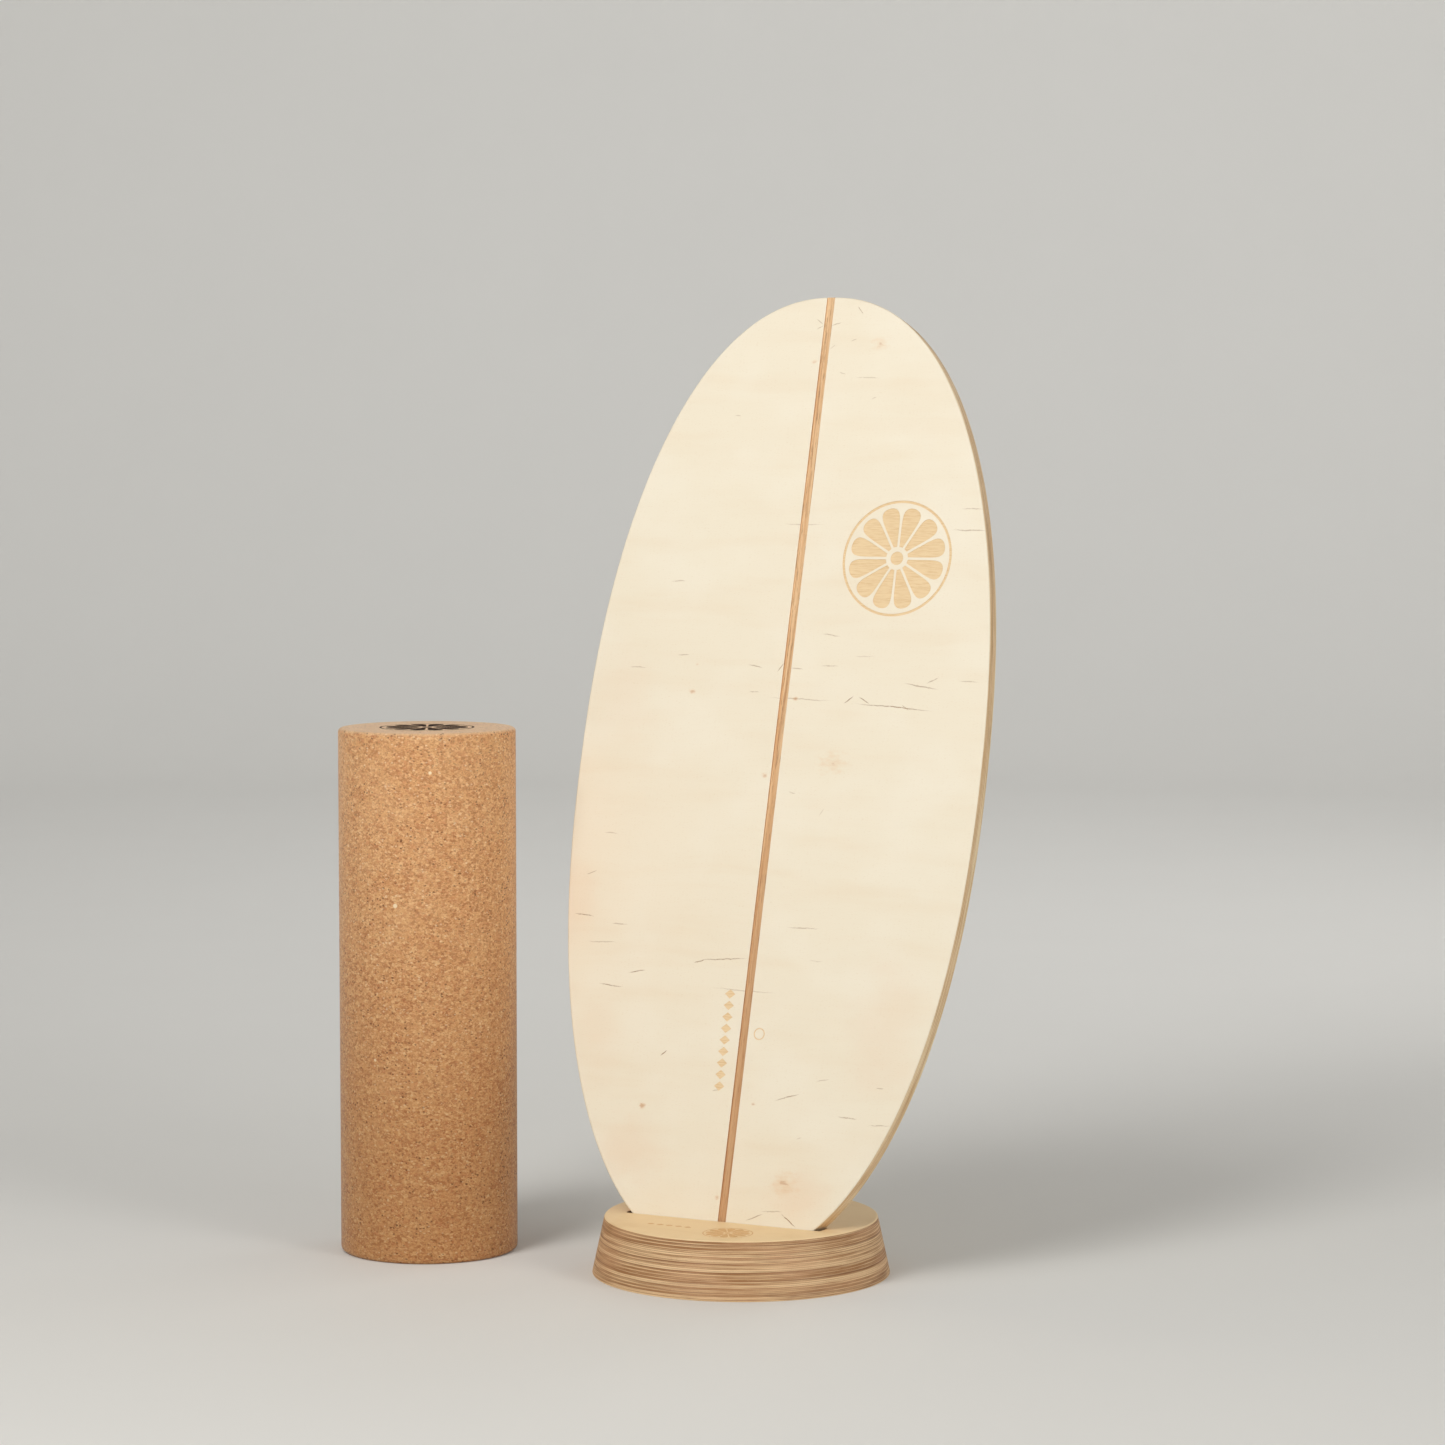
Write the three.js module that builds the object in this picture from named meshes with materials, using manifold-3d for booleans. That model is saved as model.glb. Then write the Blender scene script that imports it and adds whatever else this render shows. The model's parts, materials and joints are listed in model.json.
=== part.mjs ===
// Roller balance board on its display stand.
//
// An oval plywood deck stands, leaning back, in the slanted slot of a round stand, and the solid
// cork roller that it is ridden on stands on end beside it.
//
// Units are millimetres, +Z is up. The origin is the centre of the stand's underside. The deck
// is square to the X axis, and its riding face looks towards -Y.

import * as THREE from 'three';
import { mergeVertices } from 'three/addons/utils/BufferGeometryUtils.js';
import Module from 'manifold-3d';

const wasm = await Module();
wasm.setup();

// ---- driving dimensions -------------------------------------------------------------------

const GAP = 0.3; // clearance between pieces that touch

// deck: one panel of 15 mm birch plywood
const DECK_LENGTH = 820;
const DECK_WIDTH = 372;
const DECK_THICKNESS = 15;
const DECK_FULLNESS = 2.22; // exponent of the oval; 2 would be an ellipse
const DECK_EDGE_RADIUS = 1.5;
const DECK_RECLINE = THREE.MathUtils.degToRad(15.2); // lean from vertical, in the stand
const STRINGER_WIDTH = 7.3; // groove along the middle, milled one veneer deep
const STRINGER_DEPTH = 1.2;

// stop rails on the deck's underside, which the roller can't pass
const RAIL_LENGTH = 180;
const RAIL_WIDTH = 22;
const RAIL_THICKNESS = 15;
const RAIL_EDGE_RADIUS = 2;
const RAIL_INSET = 95; // deck end to rail centre

// 4 x 25 countersunk wood screws, three to a rail
const SCREW_LENGTH = 25;
const SCREW_RADIUS = 2;
const SCREW_HEAD_RADIUS = 4;
const SCREW_HEAD_RIM = 0.4; // straight edge above the 90 degree cone
const SCREW_TIP_LENGTH = 4;
const SCREW_SINK = 0.5; // head below the rail's surface
const SCREW_SPACING = 70;
const DRIVE_RADIUS = 1.95; // six-lobed drive recess
const DRIVE_WAIST_RADIUS = 1.4;
const DRIVE_DEPTH = 1.8;

// stand: four turned plywood discs, glued; the upper three carry the slot
const DISC_THICKNESS = 11.6;
const DISC_PITCH = DISC_THICKNESS + GAP;
const DISC_NAMES = ['stand_base_disc', 'stand_lower_disc', 'stand_middle_disc', 'stand_top_disc'];
const STAND_BASE_RADIUS = 123.3;
const STAND_TOP_RADIUS = 113;
const STAND_TOP_EDGE_RADIUS = 1.5;
const STAND_FOOT_EDGE_RADIUS = 0.8;
const STAND_HEIGHT = DISC_PITCH * (DISC_NAMES.length - 1) + DISC_THICKNESS;
const SLOT_FRONT_Y = -35.7; // where the deck's front face meets the top of the stand
const SLOT_CLEARANCE = 0.35; // play on each face of the deck
const SLOT_HALF_LENGTH = 89.5;
const SLOT_CORNER_RADIUS = 3;

// roller: one turned block of pressed cork
const ROLLER_RADIUS = 75;
const ROLLER_LENGTH = 444;
const ROLLER_EDGE_RADIUS = 3.5;
const ROLLER_X = -281;
const ROLLER_Y = -31.5;

// fineness of the round surfaces
const DECK_OUTLINE_POINTS = 132;
const TURNED_SEGMENTS = 96;
const SCREW_SEGMENTS = 20;
const EDGE_SEGMENTS = 3;
const CURVE_SEGMENTS = 6;
const MERGE_TOLERANCE = 1e-4;

// ---- materials ----------------------------------------------------------------------------

const BIRCH = new THREE.MeshStandardMaterial({ color: 0xeadfc6, roughness: 0.55, metalness: 0 });
const DISC_BIRCH = new THREE.MeshStandardMaterial({ color: 0xcfae82, roughness: 0.6, metalness: 0 });
const CORK = new THREE.MeshStandardMaterial({ color: 0xbe8c5a, roughness: 0.85, metalness: 0 });
const STEEL = new THREE.MeshStandardMaterial({ color: 0xb9bcc0, roughness: 0.35, metalness: 1 });

// ---- solid helpers ------------------------------------------------------------------------

function toSolid(geometry) {
  const bare = geometry.clone();
  bare.deleteAttribute('normal');
  bare.deleteAttribute('uv');
  const merged = mergeVertices(bare, MERGE_TOLERANCE);
  const mesh = new wasm.Mesh({
    numProp: 3,
    vertProperties: new Float32Array(merged.attributes.position.array),
    triVerts: new Uint32Array(merged.index.array),
  });
  return new wasm.Manifold(mesh);
}

function toGeometry(solid) {
  const { vertProperties, triVerts } = solid.getMesh();
  const geometry = new THREE.BufferGeometry();
  geometry.setAttribute('position', new THREE.BufferAttribute(vertProperties, 3));
  geometry.setIndex(new THREE.BufferAttribute(triVerts, 1));
  geometry.computeVertexNormals();
  return geometry;
}

function cut(geometry, cutters) {
  const remaining = cutters.reduce((solid, cutter) => solid.subtract(toSolid(cutter)), toSolid(geometry));
  return toGeometry(remaining);
}

// a solid of revolution about Z from a profile of (radius, height)
function turned(profile, segments) {
  return new THREE.LatheGeometry(profile.getPoints(EDGE_SEGMENTS), segments).rotateX(Math.PI / 2);
}

// a flat panel from z = -thickness to z = 0, with both rims rounded
function panel(outline, thickness, edgeRadius) {
  const geometry = new THREE.ExtrudeGeometry(outline, {
    depth: thickness - 2 * edgeRadius,
    bevelThickness: edgeRadius,
    bevelSize: edgeRadius,
    bevelOffset: -edgeRadius,
    bevelSegments: EDGE_SEGMENTS,
    curveSegments: CURVE_SEGMENTS,
  });
  return geometry.translate(0, 0, edgeRadius - thickness);
}

function piece(name, geometry, material) {
  const mesh = new THREE.Mesh(geometry, material);
  mesh.name = name;
  return mesh;
}

// ---- screws -------------------------------------------------------------------------------

// Head up at z = 0, tip down. `allowance` widens the profile to make the hole for the screw.
function screwBody(allowance) {
  const headRadius = SCREW_HEAD_RADIUS + allowance;
  const shankRadius = SCREW_RADIUS + allowance;
  const coneBottom = -SCREW_HEAD_RIM - (SCREW_HEAD_RADIUS - SCREW_RADIUS);
  const top = allowance > 0 ? SCREW_SINK + allowance : 0;
  const profile = new THREE.Path();
  profile.moveTo(0, -SCREW_LENGTH - allowance);
  profile.lineTo(shankRadius, -SCREW_LENGTH + SCREW_TIP_LENGTH - allowance);
  profile.lineTo(shankRadius, coneBottom - allowance);
  profile.lineTo(headRadius, -SCREW_HEAD_RIM - allowance);
  profile.lineTo(headRadius, top);
  profile.lineTo(0, top);
  return turned(profile, SCREW_SEGMENTS);
}

function driveRecess() {
  const outline = new THREE.Shape();
  const lobes = 6;
  outline.moveTo(DRIVE_RADIUS, 0);
  for (let lobe = 1; lobe <= lobes; lobe += 1) {
    const waistAngle = ((lobe - 0.5) / lobes) * 2 * Math.PI;
    const lobeAngle = (lobe / lobes) * 2 * Math.PI;
    outline.lineTo(DRIVE_WAIST_RADIUS * Math.cos(waistAngle), DRIVE_WAIST_RADIUS * Math.sin(waistAngle));
    outline.lineTo(DRIVE_RADIUS * Math.cos(lobeAngle), DRIVE_RADIUS * Math.sin(lobeAngle));
  }
  const prism = new THREE.ExtrudeGeometry(outline, { depth: 2 * DRIVE_DEPTH, bevelEnabled: false });
  return prism.translate(0, 0, -DRIVE_DEPTH);
}

// ---- deck, in its own frame: X across, Y along, Z out of the riding face, which is z = 0 ---

function ovalOutline() {
  const power = 2 / DECK_FULLNESS;
  const points = [];
  for (let index = 0; index < DECK_OUTLINE_POINTS; index += 1) {
    const angle = (index / DECK_OUTLINE_POINTS) * 2 * Math.PI;
    const across = Math.sign(Math.cos(angle)) * Math.abs(Math.cos(angle)) ** power;
    const along = Math.sign(Math.sin(angle)) * Math.abs(Math.sin(angle)) ** power;
    points.push(new THREE.Vector2((across * DECK_WIDTH) / 2, (along * DECK_LENGTH) / 2));
  }
  return new THREE.Shape(points);
}

function railOutline() {
  const endRadius = RAIL_WIDTH / 2;
  const halfStraight = RAIL_LENGTH / 2 - endRadius;
  const outline = new THREE.Shape();
  outline.absarc(halfStraight, 0, endRadius, -Math.PI / 2, Math.PI / 2);
  outline.absarc(-halfStraight, 0, endRadius, Math.PI / 2, (3 * Math.PI) / 2);
  return outline;
}

const railFaceZ = -DECK_THICKNESS - GAP - RAIL_THICKNESS;
const railOffset = DECK_LENGTH / 2 - RAIL_INSET;
const rails = [
  { name: 'upper', y: railOffset },
  { name: 'lower', y: -railOffset },
];
// sides as a rider on the deck sees them, looking towards its upper end
const screwPlaces = [
  { name: 'left', x: -SCREW_SPACING },
  { name: 'middle', x: 0 },
  { name: 'right', x: SCREW_SPACING },
];

// A screw points into the deck from below, so it is turned over about X.
function placeScrew(geometry, x, y) {
  return geometry.rotateX(Math.PI).translate(x, y, railFaceZ + SCREW_SINK);
}

function screwHoles(y) {
  return screwPlaces.map(({ x }) => placeScrew(screwBody(GAP), x, y));
}

function deckBoard() {
  const stringer = new THREE.BoxGeometry(STRINGER_WIDTH, 2 * DECK_LENGTH, 2 * STRINGER_DEPTH);
  const holes = rails.flatMap(({ y }) => screwHoles(y));
  return cut(panel(ovalOutline(), DECK_THICKNESS, DECK_EDGE_RADIUS), [stringer, ...holes]);
}

function stopRail(y) {
  const bar = panel(railOutline(), RAIL_THICKNESS, RAIL_EDGE_RADIUS);
  bar.translate(0, y, -DECK_THICKNESS - GAP);
  return cut(bar, screwHoles(y));
}

function deckAssembly() {
  const deck = new THREE.Group();
  deck.add(piece('deck_board', deckBoard(), BIRCH));
  for (const rail of rails) {
    deck.add(piece(`${rail.name}_stop_rail`, stopRail(rail.y), BIRCH));
    for (const place of screwPlaces) {
      const screw = placeScrew(cut(screwBody(0), [driveRecess()]), place.x, rail.y);
      deck.add(piece(`${rail.name}_rail_screw_${place.name}`, screw, STEEL));
    }
  }
  return deck;
}

// Height above the stand's top, along the deck, of the deck's lower end. The rounded lower
// back edge of the leaning deck rests on the base disc.
function deckFootOffset() {
  const restHeight = DISC_PITCH - STAND_HEIGHT;
  const edgeDrop = DECK_EDGE_RADIUS + (DECK_THICKNESS - DECK_EDGE_RADIUS) * Math.sin(DECK_RECLINE);
  return (restHeight + edgeDrop) / Math.cos(DECK_RECLINE) - DECK_EDGE_RADIUS;
}

// places the deck's own frame in the set, with its centre at `along` from the stand's top
function deckFrame(along) {
  const frame = new THREE.Matrix4().makeRotationX(Math.PI / 2 - DECK_RECLINE);
  const rise = along * Math.cos(DECK_RECLINE);
  const setBack = along * Math.sin(DECK_RECLINE);
  return frame.setPosition(0, SLOT_FRONT_Y + setBack, STAND_HEIGHT + rise);
}

// ---- stand --------------------------------------------------------------------------------

function standRadius(height) {
  return STAND_BASE_RADIUS + ((STAND_TOP_RADIUS - STAND_BASE_RADIUS) * height) / STAND_HEIGHT;
}

// one disc of the cone, with a rounded rim at the stand's foot and at its top
function discProfile(bottom, isBase, isTop) {
  const top = bottom + DISC_THICKNESS;
  const footRound = isBase ? STAND_FOOT_EDGE_RADIUS : 0;
  const topRound = isTop ? STAND_TOP_EDGE_RADIUS : 0;
  const profile = new THREE.Path();
  profile.moveTo(0, bottom);
  profile.lineTo(standRadius(bottom) - footRound, bottom);
  if (isBase) {
    const wallStart = bottom + footRound;
    profile.quadraticCurveTo(standRadius(bottom), bottom, standRadius(wallStart), wallStart);
  }
  profile.lineTo(standRadius(top - topRound), top - topRound);
  if (isTop) {
    profile.quadraticCurveTo(standRadius(top), top, standRadius(top) - topRound, top);
  }
  profile.lineTo(0, top);
  return profile;
}

// The slot slants with the deck and runs through the discs above the base.
function slotCutter() {
  const front = SLOT_CLEARANCE;
  const back = -DECK_THICKNESS - SLOT_CLEARANCE;
  const left = -SLOT_HALF_LENGTH;
  const right = SLOT_HALF_LENGTH;
  const corner = SLOT_CORNER_RADIUS;
  const outline = new THREE.Shape();
  outline.absarc(right - corner, front - corner, corner, 0, Math.PI / 2);
  outline.absarc(left + corner, front - corner, corner, Math.PI / 2, Math.PI);
  outline.absarc(left + corner, back + corner, corner, Math.PI, 1.5 * Math.PI);
  outline.absarc(right - corner, back + corner, corner, 1.5 * Math.PI, 2 * Math.PI);
  const reach = 2 * STAND_HEIGHT;
  const prism = new THREE.ExtrudeGeometry(outline, {
    depth: 2 * reach,
    bevelEnabled: false,
    curveSegments: CURVE_SEGMENTS,
  });
  // the outline's second axis becomes the deck's Z, and the prism runs along its Y
  prism.rotateX(Math.PI / 2).translate(0, reach, 0);
  return prism.applyMatrix4(deckFrame(0));
}

function stand() {
  const group = new THREE.Group();
  const lastIndex = DISC_NAMES.length - 1;
  DISC_NAMES.forEach((name, index) => {
    const profile = discProfile(index * DISC_PITCH, index === 0, index === lastIndex);
    const disc = turned(profile, TURNED_SEGMENTS);
    group.add(piece(name, index === 0 ? disc : cut(disc, [slotCutter()]), DISC_BIRCH));
  });
  return group;
}

// ---- roller -------------------------------------------------------------------------------

function corkRoller() {
  const rim = ROLLER_RADIUS - ROLLER_EDGE_RADIUS;
  const profile = new THREE.Path();
  profile.moveTo(0, 0);
  profile.lineTo(rim, 0);
  profile.absarc(rim, ROLLER_EDGE_RADIUS, ROLLER_EDGE_RADIUS, -Math.PI / 2, 0);
  profile.absarc(rim, ROLLER_LENGTH - ROLLER_EDGE_RADIUS, ROLLER_EDGE_RADIUS, 0, Math.PI / 2);
  profile.lineTo(0, ROLLER_LENGTH);
  const roller = piece('cork_roller', turned(profile, TURNED_SEGMENTS), CORK);
  roller.position.set(ROLLER_X, ROLLER_Y, 0);
  return roller;
}

// ---- the set ------------------------------------------------------------------------------

const balanceBoard = new THREE.Group();
const deck = deckAssembly();
deck.applyMatrix4(deckFrame(deckFootOffset() + DECK_LENGTH / 2));
balanceBoard.add(stand(), deck, corkRoller());

export default balanceBoard;
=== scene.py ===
"""Looks of a roller balance board set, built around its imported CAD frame.

The oval birch deck leans in the slot of a turned plywood stand, and its cork roller stands on
end beside it. Metres, +Z up. The deck and its rails and screws are built in the deck's own
frame: X across the deck, Y along it, Z out of the riding face, which is z = 0.
"""

import json
import math

import bmesh
import bpy
from mathutils import Matrix, Vector, noise


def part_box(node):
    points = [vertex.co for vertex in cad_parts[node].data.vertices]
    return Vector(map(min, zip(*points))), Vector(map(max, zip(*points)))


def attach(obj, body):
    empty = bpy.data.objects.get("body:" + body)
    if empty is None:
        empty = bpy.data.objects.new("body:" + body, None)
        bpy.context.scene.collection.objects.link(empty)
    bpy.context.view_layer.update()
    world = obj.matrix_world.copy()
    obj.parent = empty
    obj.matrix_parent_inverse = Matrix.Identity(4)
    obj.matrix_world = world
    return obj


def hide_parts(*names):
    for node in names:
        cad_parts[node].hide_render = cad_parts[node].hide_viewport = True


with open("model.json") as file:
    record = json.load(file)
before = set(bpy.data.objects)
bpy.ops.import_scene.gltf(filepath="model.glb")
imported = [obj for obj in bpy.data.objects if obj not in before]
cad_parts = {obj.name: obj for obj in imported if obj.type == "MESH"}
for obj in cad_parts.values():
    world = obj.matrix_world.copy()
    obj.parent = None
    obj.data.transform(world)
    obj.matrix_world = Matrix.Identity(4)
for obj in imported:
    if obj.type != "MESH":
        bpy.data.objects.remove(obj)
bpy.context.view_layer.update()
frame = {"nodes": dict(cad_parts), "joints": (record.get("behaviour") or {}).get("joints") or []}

MM = 0.001
INSIDE = 0.06 * MM  # the finely rounded pieces keep this far inside the CAD solids

# ---- sizes, as in the CAD source

DECK_THICKNESS = 15 * MM
DECK_FULLNESS = 2.22  # exponent of the oval
DECK_EDGE_RADIUS = 1.5 * MM
STRINGER_WIDTH = 7.3 * MM
STRINGER_DEPTH = 1.2 * MM

RAIL_LENGTH = 180 * MM
RAIL_WIDTH = 22 * MM
RAIL_THICKNESS = 15 * MM
RAIL_EDGE_RADIUS = 2 * MM
RAIL_BACK = -30.3 * MM  # the rail's outer face in the deck's frame
RAIL_OFFSET = 315 * MM  # middle of the deck to middle of a rail
SCREW_SPACING = 70 * MM
SCREW_LENGTH = 25 * MM
SCREW_HEAD_RADIUS = 4 * MM
SCREW_HEAD_RIM = 0.4 * MM
SCREW_CREST_RADIUS = 2 * MM
SCREW_ROOT_RADIUS = 1.5 * MM
SCREW_SHANK_LENGTH = 5 * MM
SCREW_TIP_LENGTH = 4 * MM
SCREW_SINK = 0.5 * MM
SCREW_HEAD_CHAMFER = 0.1 * MM
SCREW_POINT = 0.04  # radius of the point, as a share of the thread's
THREAD_PITCH = 1.8 * MM
THREAD_STEP = 0.225 * MM
THREAD_CREST = 0.24  # half the thread's width, as a share of its pitch
DRIVE_RADIUS = 1.95 * MM
DRIVE_WAIST_RADIUS = 1.4 * MM
DRIVE_DEPTH = 1.8 * MM
HOLE_GAP = 0.3 * MM

DISC_THICKNESS = 11.6 * MM
STAND_HEIGHT = 47.3 * MM
STAND_BASE_RADIUS = 123.3 * MM
STAND_TOP_RADIUS = 113 * MM
STAND_TOP_EDGE_RADIUS = 1.5 * MM
STAND_FOOT_EDGE_RADIUS = 0.8 * MM
DISC_JOINT = 0.13 * MM  # each disc reaches this far into the hairline joint between discs
SLOT_FRONT_Y = -35.7 * MM
SLOT_CLEARANCE = 0.35 * MM
SLOT_HALF_LENGTH = 89.5 * MM
SLOT_CORNER_RADIUS = 3 * MM

ROLLER_RADIUS = 75 * MM
ROLLER_LENGTH = 444 * MM
ROLLER_EDGE_RADIUS = 3.5 * MM
GRANULE = 2.5 * MM  # size of the cork granules

# engraved ornaments: a plain twelve-petal rosette inside a ring, in shares of its radius
PETALS = 12
PETAL_GAP = 0.045
PETAL_INNER = 0.2
PETAL_OUTER = 0.885
ROSETTE_EYE = 0.115
ROSETTE_RING = 0.957
DECK_BADGE_RADIUS = 49.5 * MM
DECK_BADGE_X = 89 * MM
DECK_BADGE_Y = 183 * MM
DECK_BADGE_DEPTH = 0.35 * MM
STAND_BADGE_RADIUS = 20.6 * MM
STAND_BADGE_X = 26 * MM
STAND_BADGE_Y = -76 * MM
STAND_BADGE_DEPTH = 0.2 * MM

# rows of plain lozenges: (x, y) of the middle, how many, spacing, half length, half width
DECK_ROW = (-17 * MM, -228 * MM, 9, 9.6 * MM, 3.9 * MM, 4.8 * MM)
STAND_ROW = (-31 * MM, -69 * MM, 5, 8.4 * MM, 3.6 * MM, 2.6 * MM)
ROW_DEPTH = 0.2 * MM
SMALL_RING = (14 * MM, -221 * MM, 5 * MM)
SMALL_RING_WIDTH = 0.9 * MM
ROLLER_BADGE_RADIUS = 40 * MM
ROLLER_BADGE_DEPTH = 0.3 * MM

# the studio, in metres
FLOOR_RADIUS = 4.6
SWEEP = 1.6
SWEEP_STEPS = 24
WALL_HEIGHT = 4.5
STUDIO_SEGMENTS = 96

MIDDLE = (-0.05, 0.0, 0.42)  # of the set, where most of the lights point
SKY_STRENGTH = 0.38

# soft lights: (name, place, where it points, width, watts, colour, spread in degrees)
LIGHTS = (
    ("key", (-0.5, -2.45, 2.0), MIDDLE, 1.2, 39.5, (1.0, 0.99, 0.96), 180),
    ("fill", (3.1, -1.0, 1.4), MIDDLE, 1.4, 33.0, (1.0, 0.985, 0.955), 180),
    ("top", (-0.4, -1.2, 2.7), (-0.1, 0.0, 0.2), 0.8, 9.0, (1.0, 0.985, 0.955), 180),
    ("back", (1.0, 3.0, 2.1), MIDDLE, 1.4, 9.0, (1.0, 0.99, 0.97), 180),
    ("backdrop", (0.0, 1.0, 4.2), (-2.2, 6.0, 2.0), 3.0, 80.0, (1.0, 1.0, 1.0), 150),
)

# the camera, fitted to the outlines in the photograph: metres and degrees
CAMERA_DISTANCE = 3.3989
CAMERA_HEIGHT = 0.7032
CAMERA_AZIMUTH = 26.634
CAMERA_HEADING = 26.894
CAMERA_PITCH = 4.174
SENSOR_WIDTH = 36.0  # millimetres
FOCAL_LENGTH = 103.54298  # millimetres

# ---- fineness

DECK_POINTS = 720
RAIL_END_POINTS = 32
RIM_STEPS = 6
STAND_SEGMENTS = 288
ROLLER_SEGMENTS = 288
ROLLER_ROWS = 240
SCREW_SEGMENTS = 48
CURVE_STEPS = 10
CREASE = math.radians(28)  # edges bent more than this stay sharp
LEVEL = 0.9999  # a face whose normal rises more than this is flat and level
SIDE = 0.4  # a face whose normal rises less than this is a side
RING_POINTS = 144
EYE_POINTS = 48

# ---- ply layers

# how many, the millimetres of each, and how many uneven lines show in a millimetre
DECK_PLIES = (11, DECK_THICKNESS / MM / 11, 0.22)
STAND_PLIES = (9, DISC_THICKNESS / MM / 9, 0.55)
BROWNER = (0.02, 0.17, -0.05, 0.16)  # the stand's discs, from the base up, differ in tone

# ---- natural marks of the deck's veneer, millimetres in the deck's frame

# (x, y, length, tilt in degrees, strength)
STREAKS = (
    (152, 208, 36, 1, 0.6),
    (101, 57, 78, -3, 0.85),
    (60, 62, 12, 38, 0.9),
    (74, 62, 13, -28, 0.9),
    (112, 57, 9, -30, 0.7),
    (124, 75, 36, -8, 0.65),
    (134, 80, 13, 25, 0.6),
    (15, 61, 66, -1, 0.45),
    (-1, 211, 40, 0, 0.4),
    (153, 226, 24, 0, 0.45),
    (-112, 160, 16, 0, 0.45),
    (37, 116, 20, -5, 0.5),
    (39, 90, 19, 2, 0.45),
    (70, 99, 22, 0, 0.25),
    (-141, 84, 18, 0, 0.45),
    (-99, 96, 13, 5, 0.5),
    (-30, 88, 16, -8, 0.6),
    (-28, 66, 12, -5, 0.45),
    (-6, 88, 12, 55, 0.7),
    (9, 87, 13, -5, 0.5),
    (166, 80, 20, 0, 0.45),
    (29, 398, 10, -50, 0.8),
    (-8, 388, 9, -35, 0.45),
    (-7, 383, 9, 30, 0.4),
    (8, 386, 11, 22, 0.45),
    (26, 372, 7, 25, 0.35),
    (7, 366, 7, 40, 0.3),
    (19, 343, 7, -20, 0.4),
    (43, 339, 26, -3, 0.35),
    (51, 321, 6, 20, 0.3),
    (-75, 306, 7, -5, 0.35),
    (18, -18, 8, -10, 0.4),
    (47, -34, 9, 60, 0.25),
    (-147, -60, 15, 0, 0.4),
    (-161, -94, 12, 20, 0.5),
    (-163, -131, 22, -4, 0.8),
    (-128, -137, 18, 1, 0.55),
    (43, -131, 34, 1, 0.55),
    (58, -158, 14, 0, 0.25),
    (-143, -153, 32, 1, 0.45),
    (-27, -161, 50, 5, 0.75),
    (-49, -164, 12, 16, 0.95),
    (-106, -176, 18, 12, 0.95),
    (-129, -189, 26, -2, 0.85),
    (-5, -186, 68, -1, 0.35),
    (-72, -243, 9, 44, 0.9),
    (-20, -270, 7, 10, 0.5),
    (46, -271, 26, 17, 0.75),
    (102, -284, 20, -2, 0.7),
    (131, -288, 22, 3, 0.5),
    (128, -258, 8, 0, 0.5),
    (76, -255, 14, 10, 0.4),
    (61, -304, 6, 20, 0.3),
    (29, -371, 19, 24, 0.65),
    (44, -365, 22, 2, 0.5),
    (60, -371, 20, -34, 0.95),
)

# (x, y, radius, strength)
KNOTS = (
    (51, 368, 8, 0.55),
    (-8, 353, 3, 0.8),
    (-85, 88, 2.2, 0.6),
    (-87, 65, 3.2, 0.8),
    (11, 61, 2.6, 0.9),
    (52, 8, 12, 0.6),
    (-9, -5, 3, 0.8),
    (16, -279, 2.2, 0.6),
    (-86, -288, 3, 0.9),
    (53, -342, 13, 0.75),
    (-7, -358, 2.8, 0.9),
)

# pale chips in the roller's cork, millimetres in the set: (x, y, z, radius)
CHIPS = (
    (-268.3, -105.4, 300.6, 2.3),
    (-240.4, -94.6, 411.5, 1.7),
    (-288.2, -106.2, 170.4, 1.5),
)

# soft pinkish patches: (x, y, half length, half width, strength)
BLUSHES = (
    (-92, -328, 44, 40, 0.6),
    (-136, -232, 30, 40, 0.3),
    (-176, -118, 30, 50, 0.45),
    (66, -350, 34, 26, 0.6),
    (128, -210, 44, 70, 0.4),
    (-150, 60, 40, 50, 0.3),
)


# ---- colours


def srgb(red, green, blue):
    """A linear colour from the 0 to 255 values it has on a screen."""

    def linear(value):
        value /= 255
        return value / 12.92 if value <= 0.04045 else ((value + 0.055) / 1.055) ** 2.4

    return (linear(red), linear(green), linear(blue), 1)


VENEER = srgb(241, 230, 208)
VENEER_WARM = srgb(236, 218, 190)
VENEER_PALE = srgb(244, 235, 216)
VENEER_BLUSH = srgb(238, 212, 184)
VENEER_MARK = srgb(150, 108, 62)
KNOT = srgb(176, 114, 62)
VENEER_HALO = srgb(230, 191, 146)
PORE = srgb(214, 184, 142)
SECOND_VENEER = srgb(220, 172, 122)
SECOND_VENEER_DARK = srgb(186, 132, 84)
SECOND_VENEER_LIGHT = srgb(238, 202, 156)
ENGRAVED = srgb(238, 210, 166)
ENGRAVED_DARK = srgb(224, 189, 141)
LONG_GRAIN = srgb(250, 229, 190)
END_GRAIN = srgb(202, 156, 102)
GLUE_LINE = srgb(150, 108, 70)
EDGE_PINK = srgb(240, 208, 166)
STAND_VENEER = srgb(238, 209, 163)
STAND_VENEER_WARM = srgb(226, 192, 142)
STAND_ENGRAVED = srgb(220, 178, 124)
STAND_ENGRAVED_DARK = srgb(204, 158, 104)
STAND_LONG_GRAIN = srgb(237, 203, 158)
STAND_EDGE_PINK = srgb(206, 160, 120)
STAND_END_GRAIN = srgb(160, 112, 67)
STAND_STREAK = srgb(116, 71, 36)
CORK = srgb(222, 167, 113)
CORK_PALE = srgb(240, 197, 146)
CORK_DEEP = srgb(188, 127, 80)
CORK_DARK_FLECK = srgb(110, 64, 34)
CORK_LIGHT_FLECK = srgb(253, 232, 196)
CORK_RED = srgb(212, 142, 96)
# paler top end: partly painted light from above, partly the smoother cut end's own tone
CORK_LIT_END = srgb(232, 198, 158)
CORK_FOOT_SHADE = srgb(217, 208, 192)  # painted shade, multiplied in towards the foot
BURNT = srgb(34, 22, 16)
BURNT_EDGE = srgb(74, 46, 28)
STEEL = srgb(182, 184, 188)
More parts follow.
